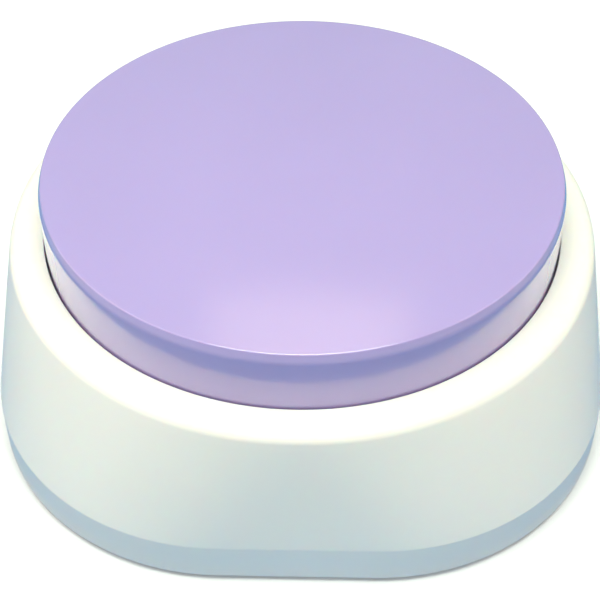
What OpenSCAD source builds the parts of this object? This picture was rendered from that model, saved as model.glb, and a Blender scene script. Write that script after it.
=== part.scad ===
// Tabletop quiz buzzer: a round sprung button in a housing whose foot is a rounded square.
// Origin: on the table under the middle of the buzzer, at the bottom of the rubber feet.
// +Z is up, -Y is the front, +X is the right-hand side. All sizes are millimetres.

/* [Housing] */
// Width of the rounded square foot, across its flats
base_width = 90; // [90:1:96]
// Corner radius of the foot
base_corner = 34.4; // [33:0.1:36]
// Height of the upright band at the foot
band_height = 6.3; // [5.6:0.1:6.6]
// Height of the flat ring around the button, above the table
ring_z = 27.2; // [26.6:0.1:27.8]
// Radius at which the sloping side would meet the flat ring
shoulder_r = 42.4; // [42.2:0.1:43.5]
// Radius of the soft edge between the side and the ring
shoulder_fillet = 1.5; // [1:0.1:2.4]
// Thickness of the housing's walls
housing_wall = 2.2; // [1.9:0.1:2.3]

/* [Button] */
// Radius of the button's upright wall
cap_r = 37.4; // [37:0.1:37.5]
// Height of the button's rim, above the table
rim_z = 36.6; // [36:0.1:37.6]
// Rise of the slightly domed top above the rim
crown = 1.4; // [0.8:0.1:2]
// Radius of the rim's small edge
rim_fillet = 0.4; // [0.3:0.1:1.4]
// Thickness of the button's shell
cap_wall = 2; // [1.7:0.1:2.2]
// Gap between the button and the housing, all round
cap_gap = 0.2; // [0.2:0.05:0.6]
// How far the button goes down
press_travel = 2.5; // [1.5:0.1:2.5]

/* [Power and sound] */
// Diameter of a AAA cell
cell_d = 10.5; // [10:0.1:10.5]
// Length of a AAA cell with its nub
cell_length = 44.5; // [43.5:0.1:44.5]
// Radius of the loudspeaker
speaker_r = 14; // [13.4:0.1:14]
// Travel of the power switch
switch_travel = 2; // [1.5:0.1:2]

/* [Feet and screws] */
// Radius of a rubber foot
foot_r = 4.5; // [4:0.1:4.6]
// How far the feet stand out below the bottom cover
foot_drop = 0.8; // [0.6:0.1:0.8]
// Radius of the holes that the housing screws pass
screw_hole_r = 1.7; // [1.6:0.05:1.8]

/* [Hidden] */
$fn = 96;
eps = 0.01;

// Outer shape of the housing
base_half = base_width / 2;
base_z = foot_drop;
band_z = base_z + band_height;
slope_angle = atan((base_half - shoulder_r) / (ring_z - band_z));
// Distance from a virtual corner to where its fillet starts
shoulder_tangent = shoulder_fillet * tan((90 - slope_angle) / 2);
// Points on each rounded corner of the housing's outline
corner_steps = 16;
// The outline's flats never shrink quite to nothing, so that no face is empty
least_flat = 0.02;
foot_chamfer = 0.3;
well_r = cap_r + cap_gap;
sleeve_r = well_r + 1.5;
// Width of the bevel round the mouth of the well
mouth_edge = 0.15;
deck_z = 19.2;
deck_top = 20.7;
ring_under = ring_z - 2.1;

// Button
skirt_z = deck_top + press_travel + 0.3;
leg_in = 29;
leg_out = 31;
leg_width = 8;
hook_reach = 1.5;
hook_z = deck_z - 0.05;
leg_bottom = hook_z - 2.15;
spring_at = 18;
spring_outer_r = 3;
spring_wire_r = 0.3;
spring_top = 33.5;
plunger_r = 3;
dome_top = 22.6;
plunger_z = dome_top + 0.2;

// Circuit board, hung under the deck
board_size = [46, 34];
board_thick = 1.2;
board_top = 17.7;
board_under = board_top - board_thick;
board_screw_at = [20, 13];
board_screw_r = 0.85;

// Bottom cover
cover_top = base_z + 2;
cover_gap = 0.2;
cover_half = base_half - housing_wall - cover_gap;
cover_corner = base_corner - housing_wall - cover_gap;
cover_screw_at = 38;
cover_pad_top = 4.3;
housing_boss_r = 3.5;
foot_at = 29.5;
foot_recess = 0.8;

// Battery compartment, with its length along X
box_y = 13;
box_half = [27, 12.5];
box_wall = 1.2;
box_ceiling = 13.5;
box_roof = 1.2;
inner_half = [box_half[0] - box_wall, box_half[1] - box_wall];
cell_z = 7.95;
cell_offset = 5.6;
nub_length = 1;
nub_r = 2.75;
contact_thick = 0.4;
contact_bump = 0.8;
cell_end_x = inner_half[0] - contact_thick - contact_bump;
// Battery door, hinged on a round edge at the left and screwed down at the right
door_thick = 1.6;
door_gap = 0.2;
door_top = base_z + door_thick;
ledge_z = door_top + 0.1;
ledge_top = 4;
hinge_x = -26.6;
hinge_z = base_z + door_thick / 2;
tongue_offset = 6.5;
tongue_width = 6;
tongue_reach = 2.4;
lug_x = 30.5;
lug_r = 4;
door_screw_r = 1;

// Loudspeaker, facing down
speaker_y = -17.5;
speaker_rim_top = 4;
speaker_wall_r = speaker_r + 0.3;
clamp_thick = 1;
clamp_r = speaker_wall_r + 1.2;
clamp_ear_at = 17.7;
clamp_ear_angles = [30, 150, 210, 330];
grille_pitch = 3.5;
grille_hole_r = 0.9;

// Power switch, sliding along Y
switch_at = [31, -12];
switch_size = [4, 9, 3.6];
switch_window = [2.6, 6.6, 2.4];
knob_rest_y = switch_at[1] - switch_travel / 2;
recess_ceiling = 2;

wire_r = 0.6;

plastic_white = [0.97, 0.97, 0.94];
plastic_lilac = [0.80, 0.73, 0.93];
steel = [0.75, 0.76, 0.78];

// ---- Shared shapes ----

// A solid skinned over rings of equal point count, each counter-clockwise seen from the last ring
module skin(rings) {
    n = len(rings[0]);
    last = (len(rings) - 1) * n;
    polyhedron(
        points = [for (ring = rings) each ring],
        faces = concat(
            [[for (i = [0:n - 1]) i]],
            [for (j = [0:len(rings) - 2], i = [0:n - 1])
                [j * n + i, (j + 1) * n + i, (j + 1) * n + (i + 1) % n]],
            [for (j = [0:len(rings) - 2], i = [0:n - 1])
                [j * n + i, (j + 1) * n + (i + 1) % n, j * n + (i + 1) % n]],
            [[for (i = [n - 1:-1:0]) last + i]]
        ),
        convexity = 6
    );
}

// Exact rounded square, from squares and circles
module rounded_square(half, corner) {
    square([2 * half, 2 * (half - corner)], center = true);
    square([2 * (half - corner), 2 * half], center = true);
    for (x = [-1, 1], y = [-1, 1])
        translate([x * (half - corner), y * (half - corner)]) circle(corner);
}

// Exact rounded rectangle of full size [x, y]
module rounded_rectangle(size, corner) {
    square([size[0], size[1] - 2 * corner], center = true);
    square([size[0] - 2 * corner, size[1]], center = true);
    for (x = [-1, 1], y = [-1, 1])
        translate([x * (size[0] / 2 - corner), y * (size[1] / 2 - corner)]) circle(corner);
}

module at_corners(x, y) {
    for (sx = [-1, 1], sy = [-1, 1]) translate([sx * x, sy * y, 0]) children();
}

module at_sides(radius) {
    for (a = [0:90:270]) rotate(a) translate([radius, 0, 0]) children();
}

module tube(outer, inner, height) {
    difference() {
        cylinder(r = outer, h = height);
        translate([0, 0, -1]) cylinder(r = inner, h = height + 2);
    }
}

// Box from its lowest corner to its highest corner
module block(low, high) {
    translate(low) cube(high - low);
}

// Pan-head screw that stands head down at z = 0, with a cross recess in its head
module screw(head_r, head_height, shank_r, shank_length) {
    difference() {
        cylinder(r = head_r, h = head_height);
        for (a = [0, 90]) rotate(a)
            translate([-head_r * 0.6, -head_r * 0.13, -eps])
                cube([head_r * 1.2, head_r * 0.26, head_height * 0.55]);
    }
    translate([0, 0, head_height - eps]) cylinder(r = shank_r, h = shank_length + eps);
}

// Height of a coil's centreline after a number of turns, with closed turns at both ends
function coil_rise(turn, turns, height, wire, closed) =
    let (
        shut = 2.1 * wire,
        pitch = (height - 2 * wire - 2 * closed * shut) / (turns - 2 * closed),
        low = min(turn, closed),
        high = max(0, turn - (turns - closed))
    )
    wire + shut * (low + high) + pitch * (turn - low - high);

// Helical spring standing on z = 0, from radius r_low to r_high at its centreline
module coil(r_low, r_high, height, turns, wire, closed) {
    sides = 6;
    per_turn = 16;
    skin([for (i = [0:turns * per_turn]) let (
            turn = i / per_turn,
            r = r_low + (r_high - r_low) * turn / turns,
            z = coil_rise(turn, turns, height, wire, closed)
        ) [for (k = [0:sides - 1]) let (p = r + wire * sin(k * 360 / sides))
            [p * cos(turn * 360), p * sin(turn * 360), z + wire * cos(k * 360 / sides)]]]);
}

// Smooth curve through hand-placed points: the value at a fraction u of the way along
function smooth_at(points, u) =
    let (
        last = len(points) - 1,
        i = min(last - 1, floor(u * last)),
        t = u * last - i,
        p0 = points[max(0, i - 1)],
        p1 = points[i],
        p2 = points[i + 1],
        p3 = points[min(last, i + 2)]
    )
    0.5 * (2 * p1 + (p2 - p0) * t + (2 * p0 - 5 * p1 + 4 * p2 - p3) * t * t
        + (3 * p1 - p0 - 3 * p2 + p3) * t * t * t);

function unit(v) = v / norm(v);

// Round insulated wire along hand-placed points
module wire(points) {
    sides = 8;
    steps = 5 * (len(points) - 1);
    sideways = [0.31, 0.82, -0.48];
    skin([for (i = [0:steps]) let (
            here = smooth_at(points, i / steps),
            ahead = unit(smooth_at(points, min(1, (i + 0.5) / steps))
                - smooth_at(points, max(0, (i - 0.5) / steps))),
            across = unit(cross(ahead, sideways)),
            over = cross(ahead, across)
        ) [for (k = [0:sides - 1]) let (a = k * 360 / sides)
            here + wire_r * (cos(a) * across + sin(a) * over)]]);
}

// ---- Outer shape of the housing ----

// Distance from the middle of the outline to its corner circles, at height z
function corner_offset(z) =
    (base_half - base_corner) * (1 - max(0, min(1, (z - band_z) / (ring_z - band_z)))) + least_flat;

// Half width of the outline at height z, below the shoulder's fillet
function side_half(z) =
    base_half - max(0, z - band_z) * (base_half - shoulder_r) / (ring_z - band_z);

// One rounded square outline, drawn counter-clockwise
function outline_ring(half, offset, z) = [
    for (q = [0:3], i = [0:corner_steps]) let (
        a = 90 * q + 90 * i / corner_steps,
        x = (q == 0 || q == 3) ? offset : -offset,
        y = q < 2 ? offset : -offset
    ) [x + (half - offset) * cos(a), y + (half - offset) * sin(a), z]
];

module outer_form() {
    fillet_z = ring_z - shoulder_fillet;
    fillet_x = shoulder_r - shoulder_tangent;
    skin(concat(
        [outline_ring(base_half - foot_chamfer, corner_offset(base_z), base_z)],
        [for (z = [base_z + foot_chamfer, band_z - 0.5, band_z, band_z + 1])
            outline_ring(side_half(z), corner_offset(z), z)],
        [for (i = [0:5]) let (
                a = slope_angle + (90 - slope_angle) * i / 5,
                z = fillet_z + shoulder_fillet * sin(a)
            ) outline_ring(fillet_x + shoulder_fillet * cos(a), corner_offset(z), z)]
    ));
}

module inner_form() {
    skin([for (z = [base_z - 1, band_z, ring_under])
        outline_ring(side_half(z) - housing_wall, corner_offset(z), z)]);
}

// ---- Button ----

// Height of the domed top at a distance from the middle
function crown_z(r) = rim_z + crown * (1 - pow(r / (cap_r - rim_fillet), 2));

module cap_shell() {
    edge_r = cap_r - rim_fillet;
    inside_r = cap_r - cap_wall;
    inside_edge = inside_r - 0.6;
    crown_steps = 10;
    fillet_steps = 6;
    rotate_extrude($fn = 120) polygon(concat(
        [[0, crown_z(0) - cap_wall]],
        [for (i = [1:crown_steps]) let (r = inside_edge * i / crown_steps) [r, crown_z(r) - cap_wall]],
        [[inside_r, crown_z(inside_edge) - cap_wall - 0.6], [inside_r, skirt_z], [cap_r, skirt_z]],
        [for (i = [0:fillet_steps]) let (a = 90 * i / fillet_steps)
            [edge_r + rim_fillet * cos(a), rim_z - rim_fillet + rim_fillet * sin(a)]],
        [for (i = [crown_steps - 1:-1:0]) let (r = edge_r * i / crown_steps) [r, crown_z(r)]]
    ));
}

// Springy leg with a hook that catches under the deck
module hook_leg() {
    root_z = crown_z(leg_out) - cap_wall / 2;
    rotate([90, 0, 0]) translate([0, 0, -leg_width / 2]) linear_extrude(leg_width) polygon([
        [leg_in, root_z],
        [leg_in, leg_bottom],
        [leg_out, leg_bottom],
        [leg_out + hook_reach, hook_z - 0.6],
        [leg_out + hook_reach, hook_z],
        [leg_out, hook_z],
        [leg_out, root_z]
    ]);
}

module push_cap() {
    spring_root = crown_z(spring_at * sqrt(2)) - cap_wall / 2;
    color(plastic_lilac) union() {
        cap_shell();
        for (a = [0:90:270]) rotate(a) hook_leg();
        // seats and pegs for the springs
        at_corners(spring_at, spring_at) {
            translate([0, 0, spring_top]) cylinder(r = 3.6, h = spring_root - spring_top);
            translate([0, 0, spring_top - 3]) cylinder(r = 2.1, h = 3 + eps);
        }
        // cross-shaped plunger over the rubber dome
        for (a = [0, 90]) rotate(a)
            block([-plunger_r, -0.6, plunger_z + 1], [plunger_r, 0.6, crown_z(0) - cap_wall / 2]);
        translate([0, 0, plunger_z]) cylinder(r = plunger_r, h = 1.5);
    }
}

// ---- Housing ----

module upper_housing() {
    color(plastic_white) difference() {
        union() {
            difference() {
                outer_form();
                inner_form();
            }
            // sleeve around the button, closed below by the deck
            translate([0, 0, deck_z]) cylinder(r = sleeve_r, h = ring_under + 0.6 - deck_z);
            // bosses for the housing screws and for the board screws
            at_sides(cover_screw_at) translate([0, 0, cover_pad_top])
                cylinder(r = housing_boss_r, h = deck_z + 0.5 - cover_pad_top);
            at_corners(board_screw_at[0], board_screw_at[1]) translate([0, 0, board_top])
                cylinder(r = 2.4, h = deck_z + 0.5 - board_top);
        }
        difference() {
            translate([0, 0, deck_top]) cylinder(r = well_r, h = ring_z + 1 - deck_top);
            at_corners(spring_at, spring_at) translate([0, 0, deck_top - 1])
                tube(4.6, 3.4, 3);
        }
        translate([0, 0, ring_z - mouth_edge - 0.05])
            cylinder(r1 = well_r - 0.05, r2 = well_r + 0.75, h = 0.8);
        translate([0, 0, deck_z - 1]) cylinder(r = 6.5, h = 4);
        for (a = [0:90:270]) rotate(a)
            block([leg_in - 1.7, -leg_width / 2 - 0.3, deck_z - 1],
                [leg_out + 0.3, leg_width / 2 + 0.3, deck_top + 1]);
        at_sides(cover_screw_at) translate([0, 0, cover_pad_top - 1])
            cylinder(r = 1.45, h = 10);
        at_corners(board_screw_at[0], board_screw_at[1]) translate([0, 0, board_top - 1])
            cylinder(r = board_screw_r + 0.1, h = 3.4);
    }
}

// ---- Bottom cover ----

// Outline of the door with its screw lug, grown by a margin; its left edge is left straight
module door_outline(grow, left) {
    translate([left, box_y - box_half[1] - grow])
        square([box_half[0] + grow - left, 2 * (box_half[1] + grow)]);
    translate([lug_x, box_y]) circle(lug_r + grow);
    translate([box_half[0] - 1, box_y - lug_r - grow])
        square([lug_x - box_half[0] + 1, 2 * (lug_r + grow)]);
}

module at_tongues() {
    for (s = [-1, 1]) translate([0, box_y + s * tongue_offset, 0]) children();
}

module at_ears() {
    for (a = clamp_ear_angles)
        translate([clamp_ear_at * cos(a), speaker_y + clamp_ear_at * sin(a), 0]) children();
}

module grille_holes() {
    for (ring = [0:3], k = [0:max(0, 6 * ring - 1)]) let (a = ring == 0 ? 0 : k * 60 / ring)
        translate([grille_pitch * ring * cos(a), speaker_y + grille_pitch * ring * sin(a), base_z - 1])
            cylinder(r = grille_hole_r, h = 4);
}

module bottom_cover() {
    box_low = [-box_half[0], box_y - box_half[1], base_z];
    box_high = [box_half[0], box_y + box_half[1], box_ceiling + box_roof];
    color(plastic_white) difference() {
        union() {
            translate([0, 0, base_z]) linear_extrude(cover_top - base_z)
                rounded_square(cover_half, cover_corner);
            // battery compartment, and the ledge that the door closes against
            block(box_low, box_high);
            translate([0, 0, cover_top - 1]) linear_extrude(ledge_top - cover_top + 1)
                door_outline(1.6, -box_half[0] - 3);
            translate([lug_x, box_y, cover_top - 1]) cylinder(r = 3.4, h = 8 - cover_top + 1);
            // pads over the screws
            at_sides(cover_screw_at) translate([0, 0, base_z])
                cylinder(r = 4.5, h = cover_pad_top - base_z);
            // wall around the loudspeaker, and posts for its clamp
            translate([0, speaker_y, cover_top - 0.5])
                tube(clamp_r, speaker_wall_r, speaker_rim_top - cover_top + 0.5);
            at_ears() translate([0, 0, cover_top - 0.5])
                cylinder(r = 2.2, h = speaker_rim_top - cover_top + 0.5);
            // end stops of the power switch
            for (s = [-1, 1]) let (y = switch_at[1] + s * (switch_size[1] / 2 + 0.7))
                block([switch_at[0] - 2, y - 0.5, cover_top - 0.5], [switch_at[0] + 2, y + 0.5, 5]);
        }
        // battery space and the door's recess
        block([-inner_half[0], box_y - inner_half[1], base_z - 1],
            [inner_half[0], box_y + inner_half[1], box_ceiling]);
        translate([0, 0, base_z - 1]) linear_extrude(ledge_z - base_z + 1)
            door_outline(door_gap, hinge_x - 1);
        at_tongues() {
            block([hinge_x - tongue_reach - 0.3, -tongue_width / 2 - 0.3, 1.5],
                [hinge_x - 0.5, tongue_width / 2 + 0.3, ledge_top + 1]);
            block([hinge_x - 1, -tongue_width / 2 - 0.3, ledge_z - 0.5],
                [-inner_half[0] + 0.5, tongue_width / 2 + 0.3, 4.4]);
        }
        translate([lug_x, box_y, ledge_z - 0.5]) cylinder(r = door_screw_r + 0.4, h = 4.5);
        // slots that the soldering tabs of the contacts pass
        for (y = [-1, 1])
            translate([inner_half[0] - contact_thick / 2, box_y + y * cell_offset, box_ceiling + 0.5])
                cube([contact_thick + 0.2, 3.2, 3], center = true);
        // housing screws, sunk into the cover
        at_sides(cover_screw_at) {
            translate([0, 0, base_z - 1]) cylinder(r = 3.2, h = 3 - base_z + 1);
            cylinder(r = screw_hole_r, h = 6);
        }
        at_corners(foot_at, foot_at) translate([0, 0, base_z - 1])
            cylinder(r = foot_r + 0.1, h = 1 + foot_recess);
        grille_holes();
        at_ears() translate([0, 0, 1.6]) cylinder(r = 0.95, h = 4);
        // recess and slot of the power switch
        block([switch_at[0] - 2, switch_at[1] - 3.4, base_z - 1],
            [switch_at[0] + 2, switch_at[1] + 3.4, recess_ceiling]);
        block([switch_at[0] - 1, switch_at[1] - 2.15, base_z - 1],
            [switch_at[0] + 1, switch_at[1] + 2.15, cover_top + 1]);
    }
}

module battery_door() {
    color(plastic_white) difference() {
        union() {
            translate([0, 0, base_z]) linear_extrude(door_thick) door_outline(0, hinge_x);
            translate([hinge_x, box_y - box_half[1], hinge_z]) rotate([-90, 0, 0])
                cylinder(r = door_thick / 2, h = 2 * box_half[1]);
            at_tongues() block([hinge_x - tongue_reach, -tongue_width / 2, hinge_z + 0.05],
                [hinge_x + 0.5, tongue_width / 2, door_top]);
        }
        translate([lug_x, box_y, base_z - 1]) cylinder(r = 2.6, h = 2.1);
        translate([lug_x, box_y, base_z]) cylinder(r = 1.35, h = 4);
        // finger grooves beside the lug
        for (i = [0:3]) translate([20.5 - 2.2 * i, box_y, base_z])
            cube([0.9, 12, 0.7], center = true);
    }
}

module battery_door_screw() {
    color(steel) translate([lug_x, box_y, base_z + 0.15]) screw(2.3, 0.95, door_screw_r, 3.5);
}

// ---- Power ----

// AAA cell along +X, with its flat end at x = 0
module cell() {
    can = cell_length - nub_length;
    rotate([0, 90, 0]) rotate_extrude() polygon([
        [0, 0], [cell_d / 2 - 0.5, 0], [cell_d / 2, 0.5], [cell_d / 2, can - 0.5],
        [cell_d / 2 - 0.5, can], [nub_r, can], [nub_r, cell_length], [0, cell_length]
    ]);
}

module battery_front() {
    color([0.20, 0.45, 0.42]) translate([cell_length - cell_end_x, box_y - cell_offset, cell_z])
        mirror([1, 0, 0]) cell();
}

module battery_back() {
    color([0.20, 0.45, 0.42]) translate([cell_end_x - cell_length, box_y + cell_offset, cell_z]) cell();
}

// Sprung contact at the flat end of a cell, with its first turn let into the plate
module contact_coil() {
    sunk = 0.2;
    reach = inner_half[0] - contact_thick - (cell_length - cell_end_x) - 0.02;
    translate([inner_half[0] - contact_thick + sunk, 0, 0]) rotate([0, -90, 0])
        coil(3.4, 2.4, reach + sunk, 3, 0.35, 0.5);
}

// Raised bump that touches the nub of a cell
module contact_button() {
    translate([cell_end_x, 0, 0]) rotate([0, 90, 0]) cylinder(r = 2.2, h = contact_bump + eps);
}

module contact_plate(half_width) {
    block([inner_half[0] - contact_thick, -half_width, 3.2 - cell_z],
        [inner_half[0], half_width, 12.8 - cell_z]);
}

module soldering_tab() {
    block([inner_half[0] - contact_thick, -1.5, 12.5 - cell_z], [inner_half[0], 1.5, 15.9 - cell_z]);
}

module contact_bridge() {
    color(steel) translate([0, box_y, cell_z]) mirror([1, 0, 0]) {
        contact_plate(10.6);
        translate([0, cell_offset, 0]) contact_coil();
        translate([0, -cell_offset, 0]) contact_button();
    }
}

module contact_negative() {
    color(steel) translate([0, box_y - cell_offset, cell_z]) {
        contact_plate(4.6);
        contact_coil();
        soldering_tab();
    }
}

module contact_positive() {
    color(steel) translate([0, box_y + cell_offset, cell_z]) {
        contact_plate(4.6);
        contact_button();
        soldering_tab();
    }
}

// ---- Circuit board ----

module circuit_board() {
    color([0.13, 0.45, 0.25]) translate([0, 0, board_under]) difference() {
        linear_extrude(board_thick) rounded_rectangle(board_size, 2);
        at_corners(board_screw_at[0], board_screw_at[1]) translate([0, 0, -1]) cylinder(r = 1.1, h = 4);
    }
}

// Blob of black resin over the bare sound chip
module sound_chip() {
    color([0.08, 0.08, 0.09]) translate([13, -9, board_under]) rotate([180, 0, 0])
        rotate_extrude() polygon([
            [0, 0], [4, 0], for (i = [1:6]) [4 * cos(15 * i), 1.1 * sin(15 * i)]
        ]);
}

module board_components() {
    small = [1.6, 0.8, 0.6];
    color([0.35, 0.30, 0.25]) translate([0, 0, board_under]) {
        for (i = [0:4]) translate([-16 + 3.4 * i, 5, -small[2] / 2]) cube(small, center = true);
        for (i = [0:3]) translate([3 + 3.4 * i, 9, -small[2] / 2]) cube(small, center = true);
        translate([-4, 11, -0.5]) cube([3, 1.6, 1], center = true);
        translate([-17, -6, -0.5]) cube([2.9, 1.6, 1], center = true);
        translate([13, 0, -0.6]) cube([4.9, 3.9, 1.2], center = true);
    }
}

module capacitor() {
    color([0.15, 0.18, 0.35]) translate([-12, -10, board_under]) rotate([180, 0, 0]) {
        translate([0, 0, 0.3]) cylinder(r = 2.5, h = 6.7);
        for (x = [-1, 1]) translate([x, 0, 0]) cylinder(r = 0.25, h = 0.5);
    }
}

module rubber_dome() {
    pill_z = dome_top - 2.4;
    color([0.75, 0.75, 0.72]) rotate_extrude() polygon([
        [8.5, board_top], [8.5, deck_z - 0.05], [5.8, deck_z - 0.05], [3.3, dome_top - 1.4],
        [3, dome_top - 1.1], [3, dome_top - 0.2], [2.8, dome_top], [0, dome_top],
        [0, pill_z], [2, pill_z], [2, pill_z + 0.6], [2.6, pill_z + 0.6], [5.1, deck_z - 0.6],
        [5.1, board_top]
    ]);
}

module return_spring(sx, sy) {
    centre_r = spring_outer_r - spring_wire_r;
    color(steel) translate([sx * spring_at, sy * spring_at, deck_top])
        coil(centre_r, centre_r, spring_top - deck_top - 0.05, 7, spring_wire_r, 1);
}

// ---- Loudspeaker ----

module speaker_frame() {
    color(steel) translate([0, speaker_y, 0]) {
        rotate_extrude() polygon([
            [12.2, cover_top], [speaker_r, cover_top], [speaker_r, speaker_rim_top],
            [12.8, speaker_rim_top], [9.8, 6.2], [4.2, 6.2], [4.2, 5.6], [9.4, 5.6], [12.2, 3.6]
        ]);
        // soldering terminals
        for (x = [-1, 1]) block([x * 2 - 0.8, 7.4, 6.1], [x * 2 + 0.8, 9, 6.6]);
    }
}

module speaker_magnet() {
    color([0.3, 0.3, 0.32]) translate([0, speaker_y, 0]) {
        translate([0, 0, 6.2]) cylinder(r = 6.5, h = 2.2);
        translate([0, 0, 4.8]) cylinder(r = 3.6, h = 1.5);
    }
}

module speaker_cone() {
    color([0.12, 0.12, 0.12]) translate([0, speaker_y, 0]) rotate_extrude() polygon([
        [12.2, 2.9], [12.2, 3.2], [11.6, 3.4], [10.8, 3.3], [5.2, 4.4], [2.6, 4.6], [0, 4.7],
        [0, 4.45], [2.5, 4.35], [5, 4.15], [10.7, 3.05], [11.5, 3.15]
    ]);
}

module speaker_clamp_ring() {
    color(plastic_white) translate([0, 0, speaker_rim_top]) difference() {
        union() {
            translate([0, speaker_y, 0]) cylinder(r = clamp_r, h = clamp_thick);
            at_ears() cylinder(r = 2.6, h = clamp_thick);
        }
        translate([0, speaker_y, -1]) cylinder(r = 13, h = clamp_thick + 2);
        at_ears() translate([0, 0, -1]) cylinder(r = 1.1, h = clamp_thick + 2);
    }
}

// Small screw that hangs head up from z = 0
module small_screw(length) {
    translate([0, 0, 1.2]) mirror([0, 0, 1]) screw(1.9, 1.2, 0.85, length);
}

module speaker_screws() {
    color(steel) translate([0, 0, speaker_rim_top + clamp_thick]) at_ears() small_screw(3.1);
}

module board_screws() {
    color(steel) translate([0, 0, board_under]) at_corners(board_screw_at[0], board_screw_at[1])
        translate([0, 0, -1.2]) screw(1.9, 1.2, board_screw_r, 3.2);
}

module housing_screws() {
    head = 1.6;
    color(steel) translate([0, 0, 3 - head]) at_sides(cover_screw_at) screw(2.8, head, 1.4, 9);
}

module rubber_feet() {
    bevel = 0.3;
    color([0.85, 0.85, 0.85]) at_corners(foot_at, foot_at) rotate_extrude() polygon([
        [0, 0], [foot_r - bevel, 0], [foot_r, bevel],
        [foot_r, base_z + foot_recess], [0, base_z + foot_recess]
    ]);
}

// ---- Power switch ----

module power_switch_body() {
    window = switch_window;
    color(steel) translate([switch_at[0], switch_at[1], cover_top]) {
        difference() {
            translate([-switch_size[0] / 2, -switch_size[1] / 2, 0]) cube(switch_size);
            translate([-window[0] / 2, -window[1] / 2, -eps])
                cube([window[0], window[1], window[2] + eps]);
        }
        for (y = [-2.5, 0, 2.5]) translate([0, y, switch_size[2] - eps]) cylinder(r = 0.4, h = 1.8);
    }
}

module power_switch_knob() {
    color([0.15, 0.15, 0.16]) translate([switch_at[0], knob_rest_y, 0]) {
        block([-1, -1.6, 3.1], [1, 1.6, 5]);
        block([-0.8, -0.9, 1.8], [0.8, 0.9, 3.2]);
        difference() {
            block([-1.2, -1.4, 1], [1.2, 1.4, 1.85]);
            for (y = [-0.7, 0, 0.7]) translate([0, y, 1]) cube([3, 0.25, 0.5], center = true);
        }
    }
}

// ---- Wires ----

module speaker_wires() {
    color([0.75, 0.12, 0.10]) {
        wire([[-2, -9.3, 6.6], [-2.6, -8.4, 8.6], [-5.5, -8, 11], [-8, -10, 13.4], [-8, -12, 15.2],
            [-8, -12.4, board_under]]);
        wire([[2, -9.3, 6.6], [2.6, -8.4, 8.6], [4.6, -8, 11], [5, -11, 13.4], [5, -12.8, 15.2],
            [5, -13, board_under]]);
    }
}

module battery_wires() {
    color([0.10, 0.10, 0.10]) {
        wire([[25.8, 7.4, 15.3], [27.6, 7.3, 15.4], [28.2, 6, 15.5], [26.4, 5.1, 15.6],
            [22.6, 5, 15.6], [20.8, 5, 15.8], [20.4, 5, board_under]]);
        wire([[25.8, 18.6, 15.3], [27.6, 18.5, 15.4], [29.2, 16.4, 15.5], [28.8, 13, 15.6],
            [26, 10.6, 15.6], [22.6, 9.4, 15.6], [20.8, 9.3, 15.8], [20.4, 9.3, board_under]]);
    }
}

module switch_wires() {
    color([0.15, 0.25, 0.65]) {
        wire([[31, -12, 8.2], [31, -12, 10], [29.4, -11, 12.4], [26, -9, 14.4], [22.6, -8, 15.3],
            [20.9, -8, 15.8], [20.6, -8, board_under]]);
        wire([[31, -9.5, 8.2], [31, -9.4, 10], [29.2, -8, 12.2], [26, -6, 14.3], [22.6, -5, 15.3],
            [20.9, -5, 15.8], [20.6, -5, board_under]]);
    }
}

push_cap();
upper_housing();
bottom_cover();
battery_door();
battery_door_screw();
battery_front();
battery_back();
contact_bridge();
contact_negative();
contact_positive();
circuit_board();
sound_chip();
board_components();
capacitor();
rubber_dome();
return_spring(1, 1);  // return_spring_1
return_spring(-1, 1);  // return_spring_2
return_spring(-1, -1);  // return_spring_3
return_spring(1, -1);  // return_spring_4
speaker_frame();
speaker_magnet();
speaker_cone();
speaker_clamp_ring();
speaker_screws();
housing_screws();
board_screws();
rubber_feet();
power_switch_body();
power_switch_knob();
speaker_wires();
battery_wires();
switch_wires();
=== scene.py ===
"""Looks of a tabletop quiz buzzer: a lilac push button in a white housing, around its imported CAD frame."""

import math

import bpy
from mathutils import Matrix, Vector


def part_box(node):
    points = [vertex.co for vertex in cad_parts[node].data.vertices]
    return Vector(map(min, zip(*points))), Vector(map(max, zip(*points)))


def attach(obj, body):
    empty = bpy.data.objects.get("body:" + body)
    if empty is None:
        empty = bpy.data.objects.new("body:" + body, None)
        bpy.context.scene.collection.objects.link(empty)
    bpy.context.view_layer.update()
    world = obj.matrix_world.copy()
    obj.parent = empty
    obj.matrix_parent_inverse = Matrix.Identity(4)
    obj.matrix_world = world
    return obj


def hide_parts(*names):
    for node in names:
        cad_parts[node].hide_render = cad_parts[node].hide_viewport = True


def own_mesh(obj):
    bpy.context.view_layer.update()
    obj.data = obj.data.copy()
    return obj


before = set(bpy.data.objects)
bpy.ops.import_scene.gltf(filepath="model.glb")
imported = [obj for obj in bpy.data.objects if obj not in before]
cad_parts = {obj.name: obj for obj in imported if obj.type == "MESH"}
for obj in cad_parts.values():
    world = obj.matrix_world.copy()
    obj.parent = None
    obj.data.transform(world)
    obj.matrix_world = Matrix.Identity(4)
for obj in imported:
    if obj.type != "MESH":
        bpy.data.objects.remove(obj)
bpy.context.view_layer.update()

MM = 0.001
TAU = 2 * math.pi

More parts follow.
